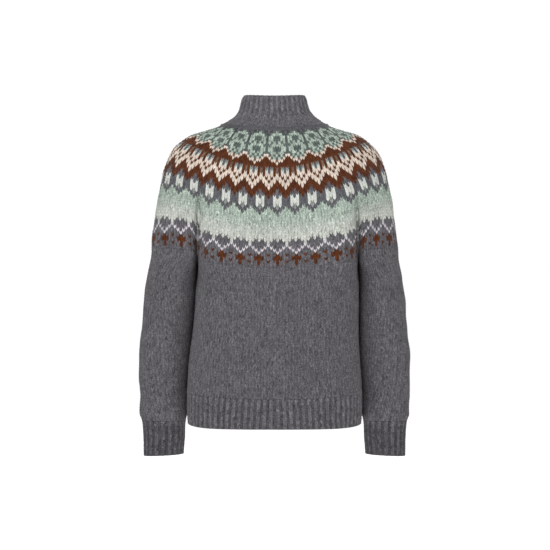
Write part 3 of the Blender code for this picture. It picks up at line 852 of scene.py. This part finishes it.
YARNS = {letter: yarn_colour(*values) for letter, values in {
    "h": (97, 96, 99, HEATHERED),
    # r and q are darker copies of the ground for the hem and the cuffs: painted shade, as the
    # lowest parts get less light.
    "r": (92, 91, 94, HEATHERED),
    "q": (80, 79, 82, HEATHERED),
    # k, the darkest grey, is partly painted shade: it darkens the rounds just under the collar,
    # mixed into their dappled pattern.
    "k": (72, 73, 75, 0.8),
    "d": (92, 93, 96, 0.8),
    "g": (88, 98, 93, 0.8),
    "s": (134, 139, 134, 0.7),
    "m": (163, 178, 165, 0.9),
    "p": (193, 197, 188, 0.6),
    "t": (206, 209, 202, PLAIN),
    "l": (202, 197, 202, PLAIN),
    "c": (216, 202, 188, PLAIN),
    "b": (86, 45, 21, 1.0),
    "n": (112, 92, 78, 0.6),
}.items()}
PALE_ROW, SAGE_ROW = 13, 20


def band_colour(row):
    """The wide band: pale grey that turns to sage as it goes up."""
    t = float(ease((row - PALE_ROW) / (SAGE_ROW - PALE_ROW)))
    return YARNS["p"] * (1 - t) + YARNS["m"] * t


print("yarns:", len(YARNS))

# %% [markdown]
# ## The colour chart
# A knitter reads a chart: one line for each round, counted up from the join, and
# one letter for each stitch.  The motifs are mirror images of themselves, so a
# line here runs from the middle of a motif to midway between two.  Trefoils and
# dots come first, then hearts on a lilac zigzag, the wide band, tulips in a dark
# zigzag, cream chevrons on brown, and scallops under a lattice with blossoms.
# Each line also says how many stitches its motif takes before it repeats.

# %% The chart
CHART = {
    1: (6, "hhhh"), 2: (6, "bhhh"), 3: (6, "bhhb"), 4: (6, "bbhh"), 5: (6, "bbhh"),
    6: (6, "bhhb"), 7: (6, "lhhh"), 8: (6, "hlhh"), 9: (6, "hhlh"), 10: (6, "hhhl"),
    11: (6, "hhhw"), 12: (6, "whww"), **{row: (6, "wwww") for row in range(13, 21)},
    21: (6, "dwww"), 22: (6, "ddww"), 23: (6, "sddw"), 24: (6, "stdd"), 25: (6, "ttdd"),
    26: (6, "ttdd"), 27: (6, "dtdb"), 28: (6, "hdbb"), 29: (6, "hbbb"), 30: (6, "bbbc"),
    31: (6, "bbcc"), 32: (6, "bccb"), 33: (6, "ccbc"), 34: (6, "cbcc"), 35: (6, "nbtd"),
    36: (6, "nbsd"), 37: (9, "bbbbb"),
    38: (9, "cbbbb"), 39: (9, "nccbb"), 40: (9, "gmgcb"), 41: (9, "mgmgc"),
    42: (8, "gmmgg"), 43: (8, "ggmmg"), 44: (8, "ggmmg"), 45: (8, "mmmgg"),
    46: (8, "gmgmg"), 47: (8, "ggmmk"), 48: (8, "ggmmg"), 49: (8, "mmmgk"),
    # Rounds 50 to 52 take k: painted shade under the collar, mixed into the dappled pattern.
    50: (6, "mgkd"), 51: (6, "gdkd"), 52: (6, "dkdk"),
}
MOTIF_MIDDLE = -1


def chart_line(line, row, stitches, repeat):
    """The colours of one round: the line mirrored about the motif's middle, repeated."""
    away = np.abs((np.arange(stitches) - MOTIF_MIDDLE + repeat // 2) % repeat - repeat // 2)
    letters = [line[min(a, len(line) - 1)] for a in away]
    return np.array([band_colour(row) if x == "w" else YARNS[x] for x in letters])


def chart_colours(first, last, stitches):
    """Colours by round, from the top, and by stitch."""
    rounds = range(last, first - 1, -1)
    return np.array([chart_line(CHART[row][1], row, stitches, CHART[row][0]) for row in rounds])


YOKE_ZONES = ((50, 52, 144), (42, 49, 192), (1, 41, 216))
for first, last, stitches in YOKE_ZONES:
    print(f"rounds {first} to {last}: {stitches} stitches")

# %% [markdown]
# ## Yoke
# The yoke is one tube, widest at the join and narrowest at the neck.  It is
# knitted in three zones, because a knitter drops stitches on the way up, and the
# zones are bridged where they meet.

# %% Knitting the yoke
ZONE_GAP = 0.06
NECK_PLACES = (49, 46)


def zone_gaps(top, bottom):
    """Parts of a row that are left open for the bridges to the zones above and below."""
    return (0.0 if top else ZONE_GAP, 0.0 if bottom else ZONE_GAP)


def neck_frame(points):
    """Inward and upward directions of the cloth at points of the neck edge."""
    rounds = []
    for place in NECK_PLACES:
        half = yoke_half(place)
        rounds.append((np.arctan2(half[:, 0], half[:, 1]), half))
    around = np.arctan2(np.abs(points[:, 0]), points[:, 1])
    edge, below = (
        np.stack([np.interp(around, turn, half[:, i]) for i in range(3)], axis=-1)
        for turn, half in rounds
    )
    up = (edge - below) * np.where(points[:, :1] < 0, np.array([-1.0, 1.0, 1.0]), 1.0)
    ahead = np.stack([points[:, 1], -points[:, 0], np.zeros(len(points))], axis=-1)
    inward = np.cross(up, ahead)
    inward /= np.linalg.norm(inward, axis=1, keepdims=True)
    up = np.cross(ahead, inward)
    return inward, up / np.linalg.norm(up, axis=1, keepdims=True)


def yoke_ends(points, form, top, bottom, world):
    """The inner edges of the yoke: square to the cloth at the neck, level at the join."""
    points[top] = form[top] + neck_frame(form[top])[0] * WALL
    points[bottom, 2] = join_height(undrawn(world * points[bottom, 0]), points[bottom, 1])
    return points


def knit_yoke():
    """Knit the yoke; inside, where the yarns are carried, each round has its mean colour."""
    carried = np.vstack([chart_colours(*zone).mean(axis=1) for zone in YOKE_ZONES])
    zones = []
    for number, (lowest, highest, stitches) in enumerate(YOKE_ZONES):
        first, last = number == 0, number == len(YOKE_ZONES) - 1
        zones.append(dict(
            pattern=KNIT, repeats=stitches, top=YOKE_DEPTH - highest,
            bottom=YOKE_DEPTH - lowest + 1, yarn=chart_colours(lowest, highest, stitches),
            open_bottom=float(last), gaps=zone_gaps(first, last), shift=-0.5,
        ))
    return knit_piece(
        "yoke", yoke_form, zones, columns=YOKE_ZONES[-1][2], lines=YOKE_DEPTH // 2,
        wall=WALL, colours=carried, ends=yoke_ends,
    )


knit_yoke_piece = knit_yoke()

# %% [markdown]
# ## Body and sleeves
# Both are plain tubes in the heathered grey.  The body keeps its stitches all the
# way down.  A sleeve loses two stitches every few rounds along a line under the
# arm: its outer columns run straight, and the last ones are swallowed there.
# Stitches run on across the join, so each piece's first row keeps its slant and
# its columns are counted on from the yoke's.

# %% Knitting the body and the sleeves
BODY_STITCHES = 170
SLEEVE_STITCHES, WRIST_STITCHES = 77, 44
JOIN_SLANT, UNDERARM, SWALLOWED = 0.77, 0.17, 0.75
STITCH_WIDTH = 2 * lengths(yoke_half(0))[-1] / YOKE_ZONES[-1][2]
BODY_ROUND = 2 * lengths(body_top)[-1] / STITCH_WIDTH
SLEEVE_ROUND = lengths(sleeve_top)[-1] / STITCH_WIDTH
TO_SIDE = sum(lengths(curve)[-1] for curve in BACK) / STITCH_WIDTH
PHASE = (-TO_SIDE - 0.5) % 1.0 - (SLEEVE_STITCHES // 2 + 1)
GREY_INSIDE = YARNS["h"][None]
print("stitches:", round(BODY_ROUND, 1), "round the body,", round(SLEEVE_ROUND, 1), "a sleeve")


def plain_rows(letter, rows, stitches):
    """One yarn for every stitch."""
    return np.tile(YARNS[letter], (rows, stitches, 1))


def tube_ends(points, form, top, bottom, world):
    """The inner edges of a tube: on the join above, level with the outer edge below."""
    points[top, 2] = join_height(undrawn(world * points[top, 0]), points[top, 1]) - SEAM
    points[bottom, 2] = form[bottom, 2]
    return points


def below_yoke(share, row):
    """Hold the body's columns in line with the yoke's, with the rest under the arms."""
    turn = (share + 0.25) % 0.5 - 0.25
    wide = UNDERARM * BODY_STITCHES / BODY_ROUND
    moved = np.interp(np.abs(turn), (0.0, UNDERARM, 0.25), (0.0, wide, 0.25)) * np.sign(turn)
    return share + moved - turn, np.ones(len(share))


def decreases(share, row):
    """Swallow a sleeve's columns under the arm, so that stitches keep their width."""
    stitches = SLEEVE_ROUND + (WRIST_STITCHES - SLEEVE_ROUND) * row / SLEEVE_LENGTH
    from_outside = ((share + 0.5) % 1.0 - 0.5) * SLEEVE_STITCHES
    room = stitches / 2 - np.abs(from_outside)
    held = np.clip(from_outside / stitches, -0.5, 0.5)
    return held, np.clip(room / SWALLOWED, 0.0, 1.0)


def knit_tube(name, surface, repeats, yarn, wall, ends, mirror=False, **zone):
    """A piece in one zone, with as many rows and stitches as its yarn is given for."""
    rows, stitches = yarn.shape[:2]
    zone.update(repeats=repeats, top=0, bottom=rows, yarn=yarn)
    return knit_piece(
        name, surface, [zone], mirror, columns=stitches, lines=rows // 2, wall=wall,
        colours=GREY_INSIDE, ends=ends,
    )


def knit_plain(name, surface, stitches, rows, shift, warp, mirror=False):
    return knit_tube(
        name, surface, stitches, plain_rows("h", rows, stitches), WALL, tube_ends, mirror,
        pattern=KNIT, open_top=JOIN_SLANT, shift=shift, warp=warp,
    )


knit_body = knit_plain("body", body_form, BODY_STITCHES, BODY_LENGTH, -0.5, below_yoke)
knit_sleeve_left, knit_sleeve_right = (
    knit_plain(name, form, SLEEVE_STITCHES, SLEEVE_LENGTH, PHASE, decreases, form.world < 0)
    for name, form in sleeve_forms.items()
)

# %% [markdown]
# ## Ribbed bands
# Hem and cuffs are in one by one rib.  The collar starts at the yoke as plain
# knitting and turns to rib on the way up, so it is knitted in three zones.

# %% Knitting the bands
HEM_RIBS, CUFF_RIBS, COLLAR_RIBS = 84, 22, 36
# Columns: pattern, range of its painted shade, repeats, first and last row from the top.
COLLAR_ZONES = (
    (RIB, COLLAR_SHADE_RANGE, COLLAR_RIBS, 0, 9),
    (KNIT, KNIT_SHADE_RANGE, 88, 9, 13),
    (KNIT, KNIT_SHADE_RANGE, 110, 13, 17),
)
RIB_DOWN, RIB_RELIEF = (0.0, 0.15, 0.92, 1.0), (0.7, 1.0, 1.0, 0.55)
COLLAR_DOWN, COLLAR_RELIEF = (0.0, 0.06, 1.0), (0.5, 1.0, 1.0)
BASE_DOWN, BASE_RISE = (0.85, 0.95, 1.0), (0.0, 1.2, 2.2)
MIXED_ROWS = 2


def rib_rise(down):
    """Ribs start a little flatter at the plain knitting and pull in at the edge."""
    return np.interp(down, RIB_DOWN, RIB_RELIEF), 0.0


def collar_rise(down):
    """The collar's top edge is pulled in, and its base stands up over the yoke."""
    return np.interp(down, COLLAR_DOWN, COLLAR_RELIEF), np.interp(down, BASE_DOWN, BASE_RISE)


def level_ends(points, form, top, bottom, world):
    """Inner edges level with the outer ones."""
    ends = top | bottom
    points[ends, 2] = form[ends, 2]
    return points


def collar_ends(points, form, top, bottom, world):
    """The inner edge of the collar's base, square to the cloth of the yoke."""
    inward, up = neck_frame(form[bottom])
    points[bottom] = form[bottom] + up * NECK_SEAM + inward * RIB_WALL
    return points


def knit_band(name, surface, ribs, rows, letter, mirror=False):
    yarn = plain_rows(letter, rows, 2 * ribs)
    # The first rows mix the ground with the band's darker yarn, so that the painted shade fades in.
    yarn[:MIXED_ROWS] = (YARNS["h"] + YARNS[letter]) / 2
    return knit_tube(
        name, surface, ribs, yarn, RIB_WALL, level_ends, mirror,
        pattern=RIB, relief=rib_rise, tones=RIB_SHADE_RANGE,
    )


def knit_collar():
    zones = []
    for number, (pattern, tones, repeats, top, bottom) in enumerate(COLLAR_ZONES):
        stitches = repeats * len(pattern) // len(KNIT)
        zones.append(dict(
            pattern=pattern, repeats=repeats, top=top, bottom=bottom,
            yarn=plain_rows("h", bottom - top, stitches), relief=collar_rise, tones=tones,
            gaps=zone_gaps(number == 0, number == len(COLLAR_ZONES) - 1),
        ))
    return knit_piece(
        "collar", collar_form, zones, columns=2 * COLLAR_RIBS, lines=COLLAR_LENGTH,
        wall=RIB_WALL, colours=GREY_INSIDE, ends=collar_ends,
    )


# The hem and the cuffs are knitted in darker yarns as painted shade, darkest at the cuffs.
knit_hem = knit_band("hem", hem_form, HEM_RIBS, HEM_LENGTH, "r")
knit_cuff_left = knit_band("cuff_left", cuff_form, CUFF_RIBS, CUFF_LENGTH, "q")
knit_cuff_right = knit_band("cuff_right", cuff_form, CUFF_RIBS, CUFF_LENGTH, "q", mirror=True)
knit_collar_piece = knit_collar()


# %% [markdown]
# ## Wool
# Wool is matt, with a faint sheen where loose fibres catch the light.  The yarn's
# colour comes from the attribute that the stitches carry.  Fine noise varies it
# from fibre to fibre, more so in the heathered yarns, and the bump shows the
# twist of the plies along each leg.  Shader maths is written as plain Python:
# the class below lets a socket take part in a sum and adds the nodes for it.

# %% Shader maths
class Wire:
    """A shader socket that takes part in Python arithmetic."""

    def __init__(self, shader, socket):
        self.shader = shader
        self.socket = socket

    def math(self, operation, *others):
        return self.shader.node("ShaderNodeMath", {"operation": operation}, {
            number: value for number, value in enumerate((self, *others))
        })

    def __add__(self, other):
        return self.math("ADD", other)

    __radd__ = __add__

    def __sub__(self, other):
        return self.math("SUBTRACT", other)

    def __rsub__(self, other):
        return self.shader.node("ShaderNodeMath", {"operation": "SUBTRACT"}, {0: other, 1: self})

    def __mul__(self, other):
        return self.math("MULTIPLY", other)

    __rmul__ = __mul__


class Shader:
    """The nodes of one material, or of the sky."""

    def __init__(self, owner, surface="Principled BSDF"):
        owner.use_nodes = True
        self.owner = owner
        self.tree = owner.node_tree
        self.surface = self.tree.nodes[surface]

    def node(self, kind, settings, values, output=0):
        """Any node: its settings first, then the values or links of its sockets."""
        node = self.tree.nodes.new(kind)
        for name, value in settings.items():
            setattr(node, name, value)
        for name, value in values.items():
            self.feed(node.inputs[name], value)
        return Wire(self, node.outputs[output])

    def feed(self, socket, value):
        if isinstance(value, Wire):
            self.tree.links.new(value.socket, socket)
        else:
            socket.default_value = value

    def finish(self, **values):
        """Feed the surface's sockets, whose spaces are written as underscores."""
        for name, value in values.items():
            self.feed(self.surface.inputs[name.replace("_", " ")], value)
        return self.owner


# %% Wool materials
# Scale and detail of each noise, and how far it turns the yarn's tone.
FIBRES, FLECKS, PATCHES = (900.0, 3.0), (400.0, 1.0), (60.0, 2.0)
FIBRE_TONE, FLECK_TONE, PATCH_TONE, NOISE_MIDDLE = 0.8, 1.9, 0.25, 0.5
WHITE, FLECK_TINT = (1.0, 1.0, 1.0, 1.0), (1.03, 0.99, 1.04, 1.0)
PLIES_ACROSS, PLIES_DOWN, PLY_HEIGHT, FIBRE_HEIGHT = 5.0, 1.6, 0.22, 1.2
BUMP_STRENGTH, BUMP_DEPTH = 0.7, 0.0006
ROUGHNESS, FIBRE_ROUGHNESS = 0.86, 0.12
SHEEN, SHEEN_ROUGHNESS, SPECULAR = 0.06, 0.45, 0.2


def wool(name):
    """Wool knitting."""
    shader = Shader(bpy.data.materials.new(name))
    place = shader.node("ShaderNodeTexCoord", {}, {}, "Object")
    stitch = shader.node("ShaderNodeUVMap", {"uv_map": "stitches"}, {})
    yarn = shader.node("ShaderNodeAttribute", {"attribute_name": "yarn"}, {}, "Color")
    heather = shader.node("ShaderNodeAttribute", {"attribute_name": "yarn"}, {}, "Alpha")
    across = shader.node("ShaderNodeSeparateXYZ", {}, {0: stitch}, "X")
    down = shader.node("ShaderNodeSeparateXYZ", {}, {0: stitch}, "Y")

    fibres, flecks, patches = (
        shader.node("ShaderNodeTexNoise", {}, {"Vector": place, "Scale": scale, "Detail": detail})
        - NOISE_MIDDLE
        for scale, detail in (FIBRES, FLECKS, PATCHES)
    )
    tone = 1 + fibres * FIBRE_TONE + heather * flecks * FLECK_TONE + patches * PATCH_TONE
    tint = shader.node("ShaderNodeMix", {"data_type": "RGBA"}, {
        "Factor": (flecks + NOISE_MIDDLE) * heather, 6: WHITE, 7: FLECK_TINT,
    }, 2)
    tinted = shader.node("ShaderNodeVectorMath", {"operation": "MULTIPLY"}, {0: yarn, 1: tint})
    colour = shader.node("ShaderNodeVectorMath", {"operation": "SCALE"}, {0: tinted, "Scale": tone})

    leg = (across.math("FRACT") - 0.5).math("ABSOLUTE")
    turns = leg * PLIES_ACROSS + down * PLIES_DOWN
    height = (turns * (2 * math.pi)).math("SINE") * PLY_HEIGHT + fibres * FIBRE_HEIGHT
    bump = shader.node("ShaderNodeBump", {}, {
        "Strength": BUMP_STRENGTH, "Distance": BUMP_DEPTH, "Height": height,
    })
    return shader.finish(
        Base_Color=colour, Roughness=ROUGHNESS + (fibres + NOISE_MIDDLE) * FIBRE_ROUGHNESS,
        Normal=bump, Sheen_Weight=SHEEN, Sheen_Roughness=SHEEN_ROUGHNESS,
        Specular_IOR_Level=SPECULAR,
    )


wool_of = {
    "patterned_knit": wool("colourwork_wool"),
    "heather_grey_knit": wool("heather_wool"),
    "heather_grey_rib": wool("heather_rib_wool"),
}
print("materials:", len(wool_of))

# %% [markdown]
# ## Handing the pieces to the frame
# Each piece stands for its solid and rides on the one body.  The table also gives
# the size its cloth is knitted to, measured all round as a flat strip.

# %% Pieces, their nodes and their cloth
# Columns: piece, node, slot, flat width and length in metres, and area where it narrows.
PIECES = (
    (knit_yoke_piece, "yoke", "patterned_knit", 1.28, 0.27, 0.27),
    (knit_body, "body", "heather_grey_knit", 1.0, 0.27, None),
    (knit_sleeve_left, "sleeve_left", "heather_grey_knit", 0.44, 0.35, 0.13),
    (knit_sleeve_right, "sleeve_right", "heather_grey_knit", 0.44, 0.35, 0.13),
    (knit_hem, "hem_rib", "heather_grey_rib", 0.97, 0.056, None),
    (knit_cuff_left, "cuff_left", "heather_grey_rib", 0.24, 0.074, None),
    (knit_cuff_right, "cuff_right", "heather_grey_rib", 0.24, 0.074, None),
    (knit_collar_piece, "collar", "heather_grey_rib", 0.6, 0.11, 0.05),
)
for piece, node, slot, width, length, area in PIECES:
    piece.data.materials.clear()
    piece.data.materials.append(wool_of[slot])
    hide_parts(node)
    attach(piece, "root")
print("pieces:", [row[0].name for row in PIECES])

# %% [markdown]
# ## Floor, light and camera
# A plain pale floor under a white sky keeps the light soft.  The sky is white
# near the horizon and darker overhead, so that the upper sides of the wool keep
# their colour.  One large lamp stands high on the camera's side and one on the
# other side.  The camera looks at the back of the sweater, level with its middle.

# %% Studio
PIXEL, PHOTO_WIDTH = 1.97, 550
CAMERA_DISTANCE, CAMERA_HEIGHT, SENSOR = 3000.0, -296.0, 36.0
FRAME_WIDTH = PHOTO_WIDTH * PIXEL
FLOOR_SIZE, FLOOR_HEIGHT, FLOOR_GLOW = 40.0, -0.92, 0.7
FLOOR_COLOUR, FLOOR_ROUGHNESS = (0.9, 0.9, 0.9, 1.0), 0.9
SKY = {"From Min": 0.2, "From Max": 0.45, "To Min": 1.02, "To Max": 0.26}
# Columns: name, place and size in metres, power in watts.
LAMPS = (
    ("key_lamp", 0.15, 1.4, 1.15, 0.7, 27.0),
    ("front_lamp", -0.15, -1.5, 1.15, 0.8, 24.0),
)

deselect_all()
bpy.ops.mesh.primitive_plane_add(size=FLOOR_SIZE, location=(0.0, 0.0, FLOOR_HEIGHT))
floor = bpy.context.object
floor.name = "floor"
floor.data.materials.append(Shader(bpy.data.materials.new("pale_floor")).finish(
    Base_Color=FLOOR_COLOUR, Roughness=FLOOR_ROUGHNESS, Emission_Color=WHITE,
    Emission_Strength=FLOOR_GLOW,
))

sky = Shader(bpy.data.worlds.new("white_sky"), "Background")
direction = sky.node("ShaderNodeTexCoord", {}, {}, "Generated")
height = sky.node("ShaderNodeSeparateXYZ", {}, {0: direction}, "Z")
light = sky.node("ShaderNodeMapRange", {}, {"Value": height, **SKY})
bpy.context.scene.world = sky.finish(Color=WHITE, Strength=light)

for name, x, y, z, size, power in LAMPS:
    bpy.ops.object.light_add(type="AREA", location=(x, y, z))
    lamp = bpy.context.object
    lamp.name = name
    lamp.data.size = size
    lamp.data.energy = power
    aim = lamp.location.copy()
    aim.z -= CAMERA_HEIGHT * MM
    lamp.rotation_euler = aim.to_track_quat("Z", "Y").to_euler()

bpy.ops.object.camera_add(
    location=(-PIXEL / 2 * MM, CAMERA_DISTANCE * MM, CAMERA_HEIGHT * MM),
    rotation=(math.radians(90), 0.0, math.radians(180)),
)
camera = bpy.context.object
camera.data.sensor_width = SENSOR
camera.data.lens = SENSOR * CAMERA_DISTANCE / FRAME_WIDTH
bpy.context.scene.camera = camera
bpy.context.scene.view_settings.view_transform = "Standard"
print("lens:", round(camera.data.lens, 2), "mm")
